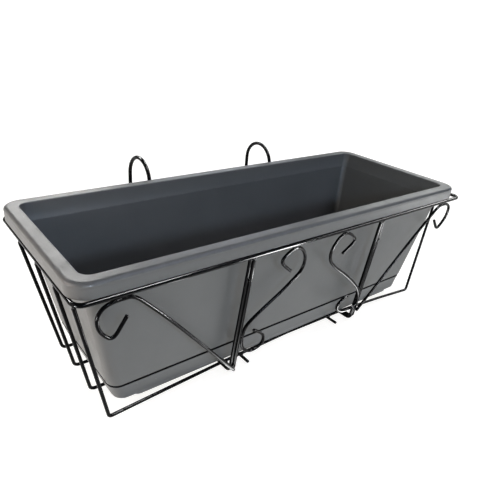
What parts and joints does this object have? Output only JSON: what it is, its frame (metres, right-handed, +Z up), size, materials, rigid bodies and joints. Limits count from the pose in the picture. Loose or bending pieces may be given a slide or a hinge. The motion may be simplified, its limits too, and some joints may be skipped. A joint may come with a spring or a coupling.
{
  "type": "balcony trough planter",
  "caption": "Rectangular tapered plastic trough with a clip-on drip saucer, standing in a scrolled black wire basket with railing hooks.",
  "frame": {"origin": "on the plane the wire basket stands on, under the middle of the whole object's box", "axes": "+Z up, +X along the trough's length towards the end where the top ring stands proud, -Y towards the scrolled front, +Y towards the railing"},
  "size_m": [0.5132, 0.2466, 0.1782],
  "materials": {
    "trough_plastic": "satin moulded grey",
    "saucer_plastic": "satin moulded grey",
    "black_wire": "gloss black lacquer"
  },
  "bodies": {
    "frame": {"top_ring": "black_wire", "basket_wire_rear": "black_wire", "basket_wire_mid_rear": "black_wire", "basket_wire_mid_front": "black_wire", "basket_wire_front": "black_wire", "hook_wire_left": "black_wire", "hook_wire_right": "black_wire", "cradle_wire_left": "black_wire", "cradle_wire_right": "black_wire", "cross_bar_left": "black_wire", "cross_bar_right": "black_wire", "outer_crook_left": "black_wire", "outer_crook_right": "black_wire", "inner_scroll_left": "black_wire", "inner_scroll_right": "black_wire"},
    "saucer": {"saucer": "saucer_plastic"},
    "trough": {"trough": "trough_plastic"}
  },
  "joints": [
    {"name": "saucer_lift", "type": "slide", "parent": "frame", "child": "saucer", "axis": [0, 0, 1], "range_m": [0, 0.18]},
    {"name": "trough_lift", "type": "slide", "parent": "saucer", "child": "trough", "axis": [0, 0, 1], "range_m": [0, 0.16]}
  ]
}
